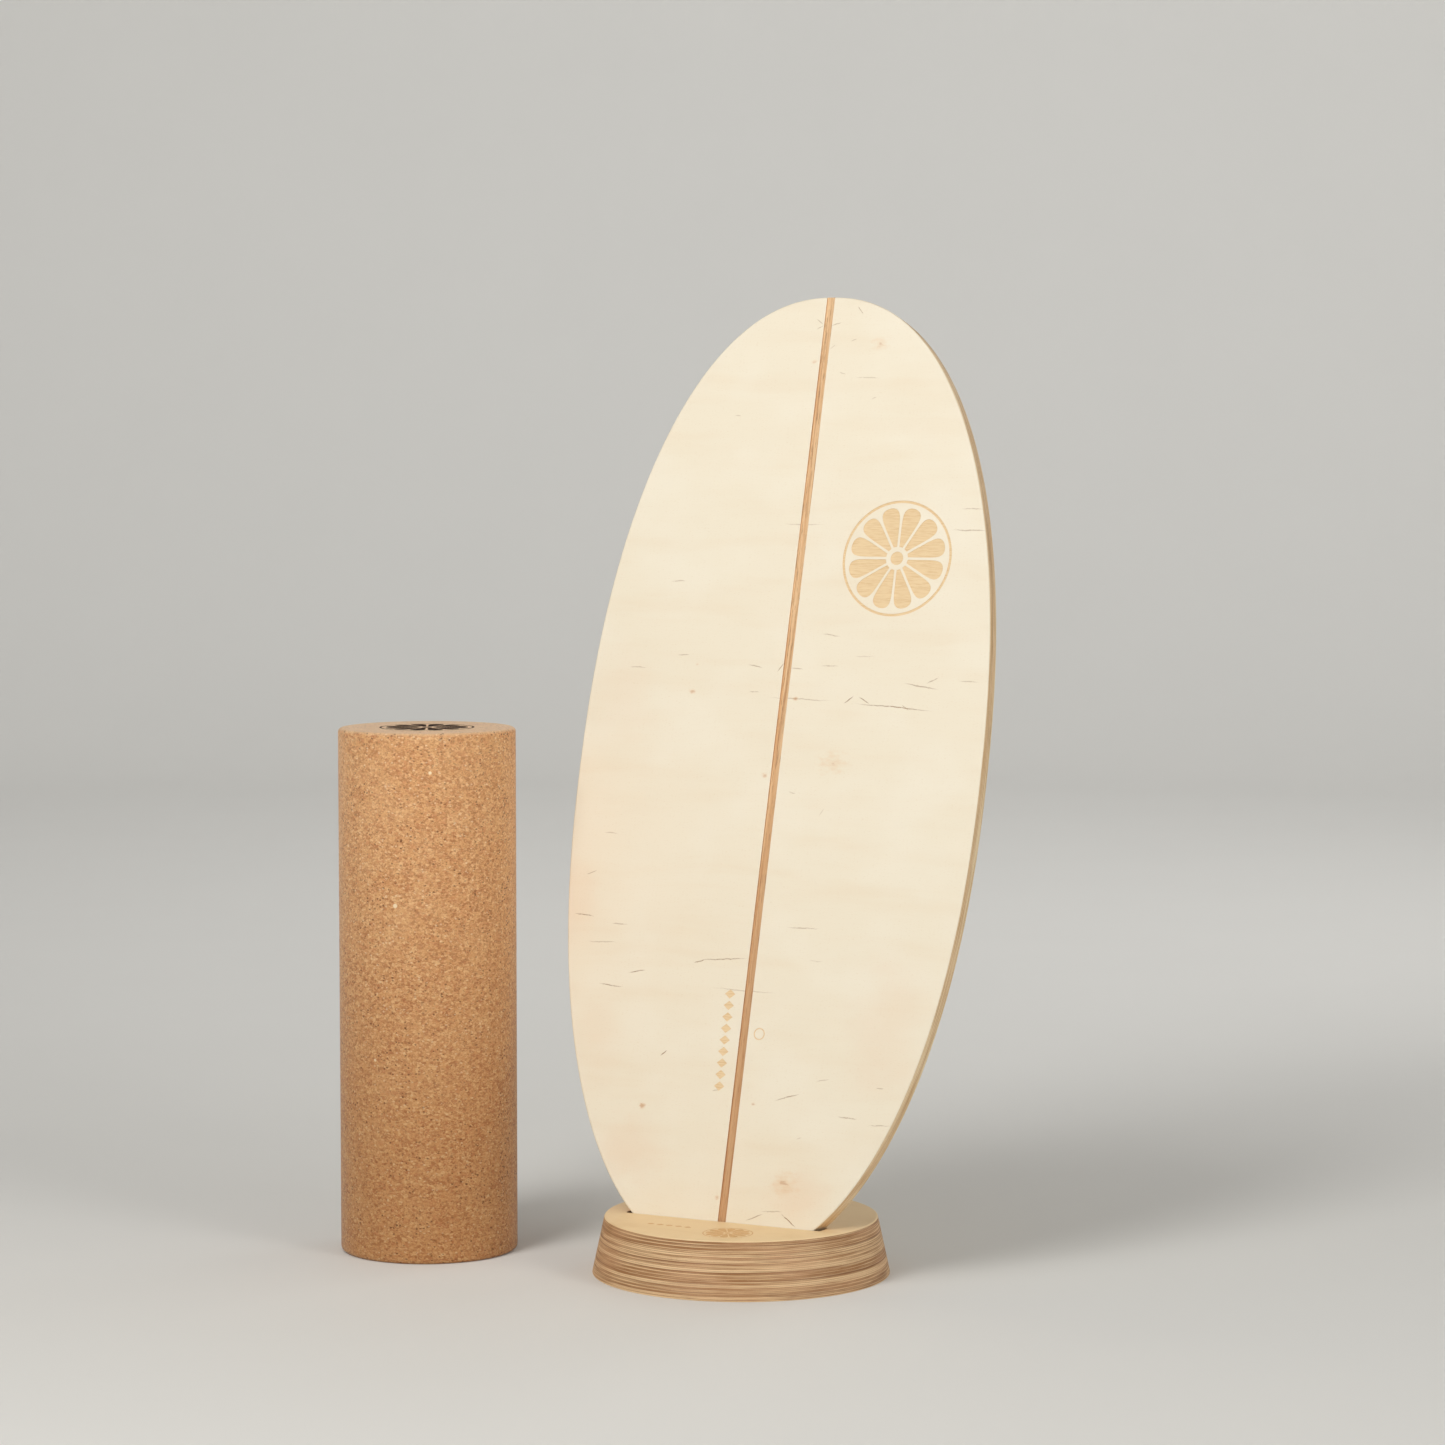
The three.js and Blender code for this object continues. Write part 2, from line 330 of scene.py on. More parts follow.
FLOOR = srgb(226, 225, 222)
FLOOR_SHADE = srgb(218, 217, 214)
SKY = srgb(232, 231, 228)

# ---- node trees


class Shader:
    """One material, written as a chain of small node steps. Lengths are in millimetres."""

    def __init__(self, name, own_frame=None):
        self.material = bpy.data.materials.new(name)
        self.material.use_nodes = True
        self.tree = self.material.node_tree
        self.surface = self.tree.nodes["Principled BSDF"]
        found = self.tree.nodes.new("ShaderNodeTexCoord").outputs
        place = found["Object"]
        self.facing = found["Normal"]
        if own_frame is not None:
            origin = own_frame.to_translation()
            turn = own_frame.to_euler()
            place = self.into_frame(place, origin, turn)
            self.facing = self.into_frame(self.facing, (0, 0, 0), turn)
        self.place = self.vector("SCALE", place, scale=1 / MM)
        self.x, self.y, self.z = self.parts(self.place)

    def into_frame(self, vector, origin, turn):
        made = self.node("Mapping", {0: vector}, vector_type="TEXTURE")
        made.inputs["Location"].default_value = origin
        made.inputs["Rotation"].default_value = turn
        return made.outputs[0]

    def put(self, socket, value):
        if isinstance(value, bpy.types.NodeSocket):
            self.tree.links.new(value, socket)
        else:
            socket.default_value = value

    def node(self, kind, inputs, **settings):
        made = self.tree.nodes.new("ShaderNode" + kind)
        for name, value in settings.items():
            setattr(made, name, value)
        for key, value in inputs.items():
            self.put(made.inputs[key], value)
        return made

    def vector(self, operation, first, second=(0, 0, 0), scale=1.0):
        inputs = {0: first, 1: second}
        if operation == "SCALE":
            inputs = {0: first, "Scale": scale}
        return self.node("VectorMath", inputs, operation=operation).outputs[0]

    def length(self, vector):
        return self.node("VectorMath", {0: vector}, operation="LENGTH").outputs["Value"]

    def math(self, operation, first, second=0.0, third=0.0):
        inputs = {0: first, 1: second, 2: third}
        return self.node("Math", inputs, operation=operation).outputs[0]

    def times(self, first, second):
        return self.math("MULTIPLY", first, second)

    def plus(self, first, second):
        return self.math("ADD", first, second)

    def minus(self, first, second):
        return self.math("SUBTRACT", first, second)

    def ramp(self, value, slope, start):
        return self.math("MULTIPLY_ADD", value, slope, start)

    def parts(self, vector):
        return self.node("SeparateXYZ", {0: vector}).outputs

    def join(self, x, y, z):
        return self.node("CombineXYZ", {0: x, 1: y, 2: z}).outputs[0]

    def stretch(self, vector, x, y, z):
        return self.vector("MULTIPLY", vector, (x, y, z))

    def noise(self, vector, scale=1.0, detail=2.0, roughness=0.5):
        inputs = {"Vector": vector, "Scale": scale, "Detail": detail, "Roughness": roughness}
        return self.node("TexNoise", inputs).outputs[0]

    def grain(self, rates, detail, roughness=0.5, place=None):
        """Noise with its own number of waves per millimetre along X, Y and Z."""
        place = self.place if place is None else place
        return self.noise(self.stretch(place, *rates), 1.0, detail, roughness)

    def cells(self, vector, scale, feature="F1"):
        inputs = {"Vector": vector, "Scale": scale}
        return self.node("TexVoronoi", inputs, feature=feature).outputs

    def step(self, value, low, high, start=0.0, end=1.0):
        """Eases from start to end as the value goes from low to high."""
        inputs = {0: value, 1: low, 2: high, 3: start, 4: end}
        made = self.node("MapRange", inputs, interpolation_type="SMOOTHSTEP")
        return made.outputs[0]

    def mix(self, share, first, second, blend="MIX"):
        inputs = {0: share, 6: first, 7: second}
        made = self.node("Mix", inputs, data_type="RGBA", blend_type=blend)
        return made.outputs[2]

    def tint(self, colour, other, value, low, high, share):
        """Moves a colour towards another as the value goes from low to high."""
        return self.mix(self.step(value, low, high, 0.0, share), colour, other)

    def bump(self, height, depth, strength=1.0, below=None):
        """Relief of that depth in millimetres, on top of the relief below."""
        inputs = {"Height": height, "Distance": depth * MM, "Strength": strength}
        if below is not None:
            inputs["Normal"] = below
        return self.node("Bump", inputs).outputs[0]

    def finish(self, colour, roughness, normal=None):
        self.put(self.surface.inputs["Base Color"], colour)
        self.put(self.surface.inputs["Roughness"], roughness)
        if normal is not None:
            self.put(self.surface.inputs["Normal"], normal)
        return self.material


# ---- wood


def veneer_colour(shader, palette):
    """Rotary-cut birch with its grain along X: wide faint bands, soft patches and fibres."""
    plain, warm, pale = palette
    wander = shader.grain((0.006, 0.014, 0.01), 3.0)
    sway = shader.times(wander, 26.0)
    along = shader.join(shader.x, shader.plus(shader.y, sway), shader.z)
    bands = shader.grain((0.005, 0.045, 0.05), 3.0, 0.55, along)
    patches = shader.grain((0.011, 0.015, 0.02), 2.0)
    fibres = shader.grain((0.035, 1.4, 1.0), 3.0, 0.7, along)
    colour = shader.mix(shader.step(bands, 0.4, 0.8, 0.0, 0.42), plain, warm)
    colour = shader.tint(colour, pale, patches, 0.42, 0.7, 0.6)
    colour = shader.tint(colour, warm, fibres, 0.5, 0.9, 0.25)
    return colour, along, fibres


def pores(shader, along):
    """Short fine vessel lines along the grain."""
    field = shader.cells(shader.stretch(along, 0.28, 2.1, 1.0), 1.0)
    rare = shader.step(shader.parts(field["Color"])[0], 0.62, 0.7)
    return shader.times(shader.step(field["Distance"], 0.32, 0.08), rare)


def scaled_mark(shader, place, x, y, half_length, half_width, tilt):
    """How far a point is from a mark, as a share of the mark's half size."""
    made = shader.node("Mapping", {0: place}, vector_type="TEXTURE")
    made.inputs["Location"].default_value = (x, y, 0)
    made.inputs["Rotation"].default_value = (0, 0, math.radians(tilt))
    made.inputs["Scale"].default_value = (half_length, half_width, 1)
    return shader.length(made.outputs[0])


def deck_marks(shader):
    """Mineral streaks, fine cracks and pin knots. The back face has them turned half round."""
    facing = shader.math("SIGN", shader.plus(shader.z, DECK_THICKNESS / MM / 2))
    wave = shader.grain((0.07, 0.03, 0.03), 2.0)
    fine = shader.grain((0.4, 0.4, 0.4), 2.0)
    rise = shader.times(shader.minus(wave, 0.5), 2.8)
    jitter = shader.times(shader.minus(fine, 0.5), 0.9)
    across = shader.times(shader.x, facing)
    up = shader.times(shader.y, facing)
    flat = shader.join(across, shader.plus(up, shader.plus(rise, jitter)), 0.0)
    still = shader.join(across, up, 0.0)
    rags = shader.grain((0.11, 0.2, 0.1), 3.0, 0.6)
    ragged = shader.ramp(rags, 2.4, -1.2)

    lines = 0.0
    for place_x, place_y, length, tilt, strength in STREAKS:
        far = scaled_mark(shader, flat, place_x, place_y, length / 2, 0.58, tilt)
        lines = shader.math("MAXIMUM", lines, shader.step(far, 1.0, 0.45, 0.0, strength))
    broken = shader.grain((0.22, 0.05, 0.05), 3.0, 0.7)
    lines = shader.times(lines, shader.step(broken, 0.32, 0.52, 0.45, 1.0))

    halos = 0.0
    cores = 0.0
    for place_x, place_y, radius, strength in KNOTS:
        far = scaled_mark(shader, still, place_x, place_y, radius * 1.35, radius, 0)
        soft = shader.plus(far, ragged)
        halos = shader.math("MAXIMUM", halos, shader.step(soft, 1.0, -0.1, 0.0, strength * 0.6))
        core = min(radius, 3.4) * 0.6 / radius
        cores = shader.math("MAXIMUM", cores, shader.step(soft, core, -0.1, 0.0, strength * 0.7))
    return lines, halos, cores


def deck_blush(shader):
    """Pinkish patches of the veneer, very soft, on both faces."""
    wander = shader.grain((0.02, 0.03, 0.02), 3.0, 0.6)
    flat = shader.join(shader.x, shader.y, 0.0)
    blush = 0.0
    for place_x, place_y, half_length, half_width, strength in BLUSHES:
        far = scaled_mark(shader, flat, place_x, place_y, half_length, half_width, 0)
        far = shader.plus(far, shader.ramp(wander, 1.4, -0.7))
        blush = shader.math("MAXIMUM", blush, shader.step(far, 1.1, 0.1, 0.0, strength))
    return blush


def deck_veneer(own_frame):
    """The riding face and the back: sanded, oiled birch with its natural marks."""
    shader = Shader("birch_face_veneer", own_frame)
    palette = (VENEER, VENEER_WARM, VENEER_PALE)
    colour, along, fibres = veneer_colour(shader, palette)
    vessels = pores(shader, along)
    lines, halos, cores = deck_marks(shader)
    colour = shader.mix(shader.times(deck_blush(shader), 0.75), colour, VENEER_BLUSH)
    colour = shader.mix(shader.times(vessels, 0.3), colour, PORE)
    colour = shader.mix(halos, colour, VENEER_HALO)
    colour = shader.mix(shader.times(cores, 0.7), colour, KNOT)
    colour = shader.mix(shader.times(lines, 0.9), colour, VENEER_MARK)
    dull = shader.ramp(fibres, 0.14, 0.44)
    dull = shader.plus(dull, shader.times(lines, 0.2))
    relief = shader.minus(fibres, shader.times(vessels, 0.6))
    return shader.finish(colour, dull, shader.bump(relief, 0.03))


def plain_veneer(name, palette, own_frame=None):
    """A clear birch face without marks, for the rails and the stand's discs."""
    shader = Shader(name, own_frame)
    colour, along, fibres = veneer_colour(shader, palette)
    vessels = pores(shader, along)
    smudge = shader.grain((0.02, 0.02, 0.02), 3.0, 0.6)
    colour = shader.tint(colour, palette[1], smudge, 0.5, 0.75, 0.5)
    colour = shader.mix(shader.times(vessels, 0.4), colour, PORE)
    dull = shader.ramp(fibres, 0.14, 0.46)
    relief = shader.minus(fibres, shader.times(vessels, 0.6))
    return shader.finish(colour, dull, shader.bump(relief, 0.03))


def ply_edge(name, plies, start, tones, browner, own_frame=None):
    """Cut edge of cross-banded plywood. Each veneer shows long grain or end grain, by the
    way the edge faces. `plies` says how many there are, and `start` how high they begin."""
    count, ply, line_rate = plies
    long_grain, end_grain, streak, pink = tones
    shader = Shader(name, own_frame)
    waver = shader.grain((0.03, 0.03, 0.03), 2.0)
    height = shader.minus(shader.z, start)
    height = shader.plus(height, shader.ramp(waver, 0.3, -0.15))
    layers = shader.math("DIVIDE", height, ply)
    layer = shader.math("FLOOR", layers)
    inside = shader.math("FRACT", layers)
    near = shader.math("MINIMUM", inside, shader.minus(1.0, inside))
    odd = shader.math("FLOORED_MODULO", layer, 2.0)

    nx, ny, _ = shader.parts(shader.facing)
    facing_x = shader.times(nx, nx)
    facing_y = shader.times(ny, ny)
    cut_across = shader.times(facing_x, shader.minus(1.0, odd))
    cut_across = shader.plus(cut_across, shader.times(facing_y, odd))
    faded = shader.step(near, 0.5, 0.08, 0.0, 0.5)
    faded = shader.times(faded, shader.minus(1.0, cut_across))
    scattered = shader.times(layer, 3.7)
    level = shader.stretch(shader.place, 0.022, 0.022, 0.0)
    drift = shader.noise(shader.vector("ADD", level, shader.join(0.0, 0.0, scattered)))
    tone = shader.ramp(drift, 1.3, browner - 0.65)
    from_middle = shader.math("ABSOLUTE", shader.minus(layers, count / 2))
    outer = shader.step(from_middle, count / 2 - 0.9, count / 2 - 0.4, 0.0, 0.45)
    tone = shader.minus(tone, outer)
    share = shader.plus(shader.ramp(cut_across, 0.6, 0.15), tone)
    share = shader.plus(share, faded)
    colour = shader.mix(shader.step(share, -0.1, 1.1), long_grain, end_grain)

    fibres = shader.grain((0.05, 0.05, 2.6), 5.0, 0.8)
    lines = shader.noise(shader.stretch(shader.place, 0.003, 0.003, line_rate), 1.0, 3.0, 0.75)
    speckle = shader.grain((0.9, 0.9, 2.2), 3.0, 0.7)
    stain = shader.grain((0.014, 0.014, 0.11), 3.0, 0.6)
    warmth = shader.grain((0.02, 0.02, 0.06), 2.0)
    colour = shader.tint(colour, pink, warmth, 0.45, 0.68, 0.45)
    colour = shader.tint(colour, end_grain, fibres, 0.5, 0.66, 0.55)
    colour = shader.tint(colour, long_grain, fibres, 0.47, 0.32, 0.55)
    colour = shader.tint(colour, streak, lines, 0.53, 0.66, 0.65)
    colour = shader.tint(colour, long_grain, lines, 0.47, 0.36, 0.8)
    grainy = shader.times(shader.step(speckle, 0.5, 0.72), cut_across)
    colour = shader.mix(shader.times(grainy, 0.4), colour, streak)
    colour = shader.tint(colour, streak, stain, 0.55, 0.78, 0.5)
    glue = shader.step(near, 0.1, 0.02)
    colour = shader.mix(shader.times(glue, 0.35), colour, streak)

    dull = shader.ramp(cut_across, 0.16, 0.52)
    relief = shader.plus(shader.times(fibres, 0.6), speckle)
    relief = shader.minus(relief, shader.times(glue, 0.7))
    return shader.finish(colour, dull, shader.bump(relief, 0.05))


def stringer_veneer(own_frame):
    """The second veneer at the bottom of the milled groove, with its grain along the deck."""
    shader = Shader("birch_second_veneer", own_frame)
    fibres = shader.grain((0.5, 0.01, 1.0), 5.0, 0.75)
    bands = shader.grain((0.3, 0.008, 0.1), 3.0)
    ticks = shader.grain((0.9, 0.06, 1.0), 3.0, 0.7)
    colour = shader.mix(shader.step(bands, 0.35, 0.65), SECOND_VENEER_LIGHT, SECOND_VENEER)
    colour = shader.tint(colour, SECOND_VENEER_DARK, fibres, 0.48, 0.66, 0.85)
    colour = shader.tint(colour, STAND_STREAK, ticks, 0.53, 0.66, 0.5)
    low_down = shader.step(shader.y, 60.0, -220.0, 0.0, 0.6)
    colour = shader.mix(low_down, colour, SECOND_VENEER_DARK)
    dull = shader.ramp(fibres, 0.15, 0.5)
    return shader.finish(colour, dull, shader.bump(fibres, 0.06))


def engraved_wood(name, light, dark, own_frame=None):
    """Shallow machined ornament, a little browner than the face and faintly lined."""
    shader = Shader(name, own_frame)
    lines = shader.grain((0.09, 1.6, 1.0), 3.0, 0.6)
    patch = shader.grain((0.05, 0.05, 0.05), 2.0)
    colour = shader.mix(shader.step(lines, 0.4, 0.72), light, dark)
    colour = shader.tint(colour, light, patch, 0.45, 0.75, 0.4)
    dull = shader.ramp(lines, 0.15, 0.55)
    return shader.finish(colour, dull, shader.bump(lines, 0.05))


# ---- cork and steel


def flecks(shader, place, scale, size, rarity):
    """Scattered single granules of about `size`, as a share of their cell."""
    field = shader.cells(place, scale)
    chosen = shader.step(shader.parts(field["Color"])[0], rarity, rarity + 0.02)
    shape = shader.step(field["Distance"], size, size * 0.7)
    return shader.times(chosen, shape)


def cork():
    """Pressed cork granulate: packed granules of several tones with dark and pale flecks."""
    shader = Shader("pressed_cork_granules")
    warp = shader.grain((0.5, 0.5, 0.5), 2.0)
    push = shader.join(warp, warp, shader.times(warp, -0.8))
    squat = shader.stretch(shader.vector("ADD", shader.place, push), 1.0, 1.0, 1.35)
    large = shader.cells(squat, MM / GRANULE)
    small = shader.cells(squat, 1.9 * MM / GRANULE)
    seams = shader.cells(squat, MM / GRANULE, "DISTANCE_TO_EDGE")["Distance"]
    tone = shader.parts(large["Color"])[0]
    fine_tone = shader.parts(small["Color"])[1]
    hue = shader.parts(large["Color"])[2]
    colour = shader.mix(shader.step(tone, 0.0, 0.5), CORK_DEEP, CORK)
    colour = shader.tint(colour, CORK_RED, hue, 0.6, 0.95, 0.5)
    colour = shader.tint(colour, CORK_PALE, tone, 0.7, 1.0, 0.8)
    colour = shader.tint(colour, CORK_PALE, fine_tone, 0.55, 1.0, 0.5)
    colour = shader.tint(colour, CORK_DEEP, fine_tone, 0.35, 0.0, 0.6)
    colour = shader.tint(colour, CORK_DEEP, seams, 0.09, 0.0, 0.4)
    cloud = shader.grain((0.03, 0.03, 0.03), 3.0, 0.6)
    colour = shader.tint(colour, CORK_PALE, cloud, 0.4, 0.7, 0.15)
    # painted light, with the smoother end's own tone: faces turned up, the top end and its rim, are
    # made paler
    up = shader.parts(shader.facing)[2]
    colour = shader.tint(colour, CORK_LIT_END, up, 0.2, 0.95, 0.6)
    cluster = shader.grain((0.06, 0.06, 0.05), 2.0)
    crowded = shader.step(cluster, 0.42, 0.62, 0.35, 1.0)
    dark = shader.times(flecks(shader, squat, 0.37, 0.42, 0.8), crowded)
    tiny = flecks(shader, squat, 0.85, 0.42, 0.86)
    pale = flecks(shader, squat, 0.33, 0.38, 0.88)
    chip = 0.0
    for *centre, radius in CHIPS:
        far = shader.length(shader.vector("SUBTRACT", shader.place, centre))
        chip = shader.math("MAXIMUM", chip, shader.step(far, radius, 0.6 * radius))
    colour = shader.mix(shader.times(dark, 0.8), colour, CORK_DARK_FLECK)
    colour = shader.mix(shader.times(tiny, 0.5), colour, CORK_DARK_FLECK)
    colour = shader.mix(shader.times(pale, 0.42), colour, CORK_LIGHT_FLECK)
    colour = shader.mix(shader.times(chip, 0.9), colour, CORK_LIGHT_FLECK)
    # painted shade: the cork is darkened towards its foot, where less light falls
    low_down = shader.step(shader.z, 430.0, 0.0)
    colour = shader.mix(low_down, colour, CORK_FOOT_SHADE, "MULTIPLY")
    shader.surface.inputs["Sheen Weight"].default_value = 0.25
    shader.surface.inputs["Sheen Roughness"].default_value = 0.35
    grit = shader.noise(shader.place, 1.6, 3.0, 0.7)
    relief = shader.bump(shader.step(seams, 0.0, 0.18), 0.16, 0.8)
    rough = shader.minus(grit, shader.times(dark, 0.6))
    relief = shader.bump(rough, 0.12, 0.8, relief)
    return shader.finish(colour, shader.ramp(grit, 0.15, 0.75), relief)


def burnt_cork():
    """Branded ornament on the roller's end: charred granules, browner at thin spots."""
    shader = Shader("branded_cork")
    tone = shader.parts(shader.cells(shader.place, MM / GRANULE)["Color"])[0]
    grit = shader.noise(shader.place, 1.6, 3.0, 0.7)
    colour = shader.mix(shader.step(tone, 0.55, 1.0, 0.0, 0.75), BURNT, BURNT_EDGE)
    colour = shader.tint(colour, BURNT_EDGE, grit, 0.5, 0.8, 0.5)
    shader.surface.inputs["Specular IOR Level"].default_value = 0.1
    dull = shader.ramp(grit, 0.1, 0.88)
    return shader.finish(colour, dull, shader.bump(grit, 0.12))


def steel(own_frame):
    """Zinc-plated screw steel with fine turning lines and a little staining."""
    shader = Shader("screw_steel", own_frame)
    lines = shader.noise(shader.join(0.0, 0.0, shader.z), 9.0, 2.0)
    stain = shader.noise(shader.place, 0.6, 3.0, 0.6)
    colour = shader.mix(shader.step(stain, 0.5, 0.8, 0.0, 0.5), STEEL, GLUE_LINE)
    dull = shader.ramp(stain, 0.25, 0.24)
    shader.surface.inputs["Metallic"].default_value = 1.0
    return shader.finish(colour, dull, shader.bump(lines, 0.01))


def floor_paint():
    """Pale matt studio floor."""
    shader = Shader("studio_floor")
    soft = shader.noise(shader.place, 0.004, 3.0)
    colour = shader.mix(shader.step(soft, 0.2, 0.8, 0.0, 0.12), FLOOR, FLOOR_SHADE)
    return shader.finish(colour, 0.75)


# ---- mesh building

# material slots of the pieces, whose face is slot 0
EDGE = 1
DECK_GROOVE = 2
DECK_ORNAMENT = 3
STAND_ORNAMENT = 2
ROLLER_ORNAMENT = 1


def link(thing):
    bpy.context.scene.collection.objects.link(thing)


def quarter(steps):
    """Angles from 0 to a right angle, both included."""
    return [math.pi / 2 * index / steps for index in range(steps + 1)]


def full_turn(steps):
    """Angles all the way round, without the last, which is the first again."""
    return [2 * math.pi * index / steps for index in range(steps)]


def at_angle(radius, angle, height):
    return Vector((radius * math.cos(angle), radius * math.sin(angle), height))


def join_rows(solid, rows):
    """Faces between neighbouring rings of vertices, which face out when the rings rise."""
    for lower, upper in zip(rows, rows[1:]):
        for index in range(len(lower)):
            after = (index + 1) % len(lower)
            solid.faces.new((lower[index], lower[after], upper[after], upper[index]))


def ring_solid(rings, material=0):
    """A closed solid from rings of points, bottom to top, each counter-clockwise from above."""
    solid = bmesh.new()
    rows = [[solid.verts.new(point) for point in ring] for ring in rings]
    join_rows(solid, rows)
    solid.faces.new(list(reversed(rows[0])))
    solid.faces.new(rows[-1])
    for face in solid.faces:
        face.material_index = material
    return solid


def turned(profile, segments):
    """Rings of a solid of revolution from its (radius, height) profile."""
    return [
        [at_angle(radius, angle, height) for angle in full_turn(segments)]
        for radius, height in profile
    ]


def panel_rings(outline, thickness, radius, top=0.0):
    """Rings of a flat panel with rounded rims. The outline is a list of (point, normal)."""
    steps = []
    for angle in quarter(RIM_STEPS):
        inset = radius * (1 - math.sin(angle))
        steps.append((inset, top - thickness + radius * (1 - math.cos(angle))))
    for angle in quarter(RIM_STEPS):
        inset = radius * (1 - math.cos(angle))
        steps.append((inset, top - radius * (1 - math.sin(angle))))
    return [
        [Vector((*(point - normal * inset), height)) for point, normal in outline]
        for inset, height in steps
    ]


def prism(outline, bottom, top, material=0):
    rings = [[Vector((x, y, height)) for x, y in outline] for height in (bottom, top)]
    return ring_solid(rings, material)


def mesh_from(solid, name):
    bmesh.ops.recalc_face_normals(solid, faces=solid.faces)
    mesh = bpy.data.meshes.new(name)
    solid.to_mesh(mesh)
    solid.free()
    return mesh


def merged(solids):
    """Several separate solids as one."""
    whole = bmesh.new()
    for solid in solids:
        part = mesh_from(solid, "part")
        whole.from_mesh(part)
        bpy.data.meshes.remove(part)
    return whole


def subtract(mesh, solids, materials):
    """The mesh with the solids taken away. Cut faces take the solids' material index."""
    cutter = mesh_from(merged(solids), "cutter")
    set_materials(mesh, materials)
    set_materials(cutter, materials)
    body = bpy.data.objects.new("body", mesh)
    tool = bpy.data.objects.new("tool", cutter)
    for thing in (body, tool):
        link(thing)
    change = body.modifiers.new("cut", "BOOLEAN")
    change.operation = "DIFFERENCE"
    change.solver = "EXACT"
    change.object = tool
    depsgraph = bpy.context.evaluated_depsgraph_get()
    result = bpy.data.meshes.new_from_object(body.evaluated_get(depsgraph))
    for thing in (body, tool):
        bpy.data.objects.remove(thing)
    bpy.data.meshes.remove(mesh)
    bpy.data.meshes.remove(cutter)
    return result


def crease(mesh):
    """Smooth shading, with sharp edges at bends and round the flat faces."""
    solid = bmesh.new()
    solid.from_mesh(mesh)
    for face in solid.faces:
        face.smooth = True
    for edge in solid.edges:
        if len(edge.link_faces) != 2:
            continue
        first, second = edge.link_faces
        one_flat = (abs(first.normal.z) > LEVEL) != (abs(second.normal.z) > LEVEL)
        edge.smooth = edge.calc_face_angle(0) < CREASE and not one_flat
    solid.to_mesh(mesh)
    solid.free()


def add_piece(name, mesh, nodes, body, place=None):
    """A finished piece that stands for CAD nodes and rides on a body."""
    crease(mesh)
    if place is not None:
        mesh.transform(place)
    mesh.name = name
    piece = bpy.data.objects.new(name, mesh)
    link(piece)
    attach(piece, body)
    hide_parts(*nodes)


def set_materials(mesh, materials):
    for material in materials:
        mesh.materials.append(material)


def paint_sides(mesh):
    """The sides take the edge's material. The rounded rims keep the face's veneer."""
    for polygon in mesh.polygons:
        if polygon.material_index == 0 and abs(polygon.normal.z) < SIDE:
            polygon.material_index = EDGE


# ---- ornament


def petal(radius, turn):
    """One petal's outline: a wedge with a rounded outer end."""
    gap = PETAL_GAP * radius
    inner = PETAL_INNER * radius
    outer = PETAL_OUTER * radius
    left = []
    right = []
    for angle in quarter(CURVE_STEPS * 2):
        along = math.sin(angle)
        distance = inner + (outer - inner) * along
        width = distance * math.tan(math.pi / PETALS) - gap / 2
        width *= math.sqrt(max(0.0, 1 - along**7))
        left.append(Vector((distance, width)))
        right.append(Vector((distance, -width)))
    outline = right + left[-2::-1]
    spin = Matrix.Rotation(turn, 2)
    return [spin @ point for point in outline]


def circle(radius, points):
    return [at_angle(radius, angle, 0.0).xy for angle in full_turn(points)]


def ring_cutter(outer, inner, bottom, top, material):
    """A square-sectioned ring."""
    rows = [(outer, bottom), (outer, top), (inner, top), (inner, bottom)]
    solid = bmesh.new()
    loops = [
        [solid.verts.new((point.x, point.y, height)) for point in circle(radius, RING_POINTS)]
        for radius, height in rows
    ]
    join_rows(solid, loops + loops[:1])
    for face in solid.faces:
        face.material_index = material
    return solid


def rosette_cutter(radius, place, depth, material):
    """Solids that engrave the ornament into a level face, with its middle at `place`."""
    bottom = -depth
    top = 2 * depth
    solids = [ring_cutter(radius, ROSETTE_RING * radius, bottom, top, material)]
    solids.append(prism(circle(ROSETTE_EYE * radius, EYE_POINTS), bottom, top, material))
    for index in range(PETALS):
        outline = petal(radius, 2 * math.pi * (index + 0.5) / PETALS)
        solids.append(prism(outline, bottom, top, material))
    whole = merged(solids)
    bmesh.ops.translate(whole, verts=whole.verts, vec=place)
    return whole


def lozenge_row(row, upright, surface, material):
    """A row of plain lozenges, along Y when upright and otherwise along X."""
    middle_x, middle_y, count, spacing, half_length, half_width = row
    shapes = []
    for index in range(count):
        along = (index - (count - 1) / 2) * spacing
        corners = [(half_length, 0), (0, half_width), (-half_length, 0), (0, -half_width)]
        outline = [Vector((along + x, y)) for x, y in corners]
        if upright:
            outline = [Vector((-point.y, point.x)) for point in outline]
        outline = [point + Vector((middle_x, middle_y)) for point in outline]
        shapes.append(prism(outline, surface - ROW_DEPTH, surface + ROW_DEPTH, material))
    return shapes


def small_ring():
    x, y, radius = SMALL_RING
    ring = ring_cutter(radius, radius - SMALL_RING_WIDTH, -ROW_DEPTH, ROW_DEPTH, DECK_ORNAMENT)
    bmesh.ops.translate(ring, verts=ring.verts, vec=(x, y, 0))
    return ring


# ---- deck


def deck_axes():
    """Across, along and out of the riding face. The deck slides along its own length."""
    lift = next(joint for joint in frame["joints"] if joint["name"] == "deck_lift")
    along = Vector(lift["axis"]).normalized()
    across = Vector((1, 0, 0))
    return across, along, across.cross(along)


def deck_place():
    """The deck's own frame in the set, and its half width and half length."""
    across, along, out = deck_axes()
    points = [vertex.co for vertex in frame["nodes"]["deck_board"].data.vertices]
    reach = [point.dot(along) for point in points]
    middle = (min(reach) + max(reach)) / 2
    face = max(point.dot(out) for point in points)
    turn = Matrix((across, along, out)).transposed().to_4x4()
    half_length = (max(reach) - min(reach)) / 2
    half_width = max(point.x for point in points)
    return Matrix.Translation(along * middle + out * face) @ turn, half_width, half_length


def signed_power(value, power):
    return math.copysign(abs(value) ** power, value)


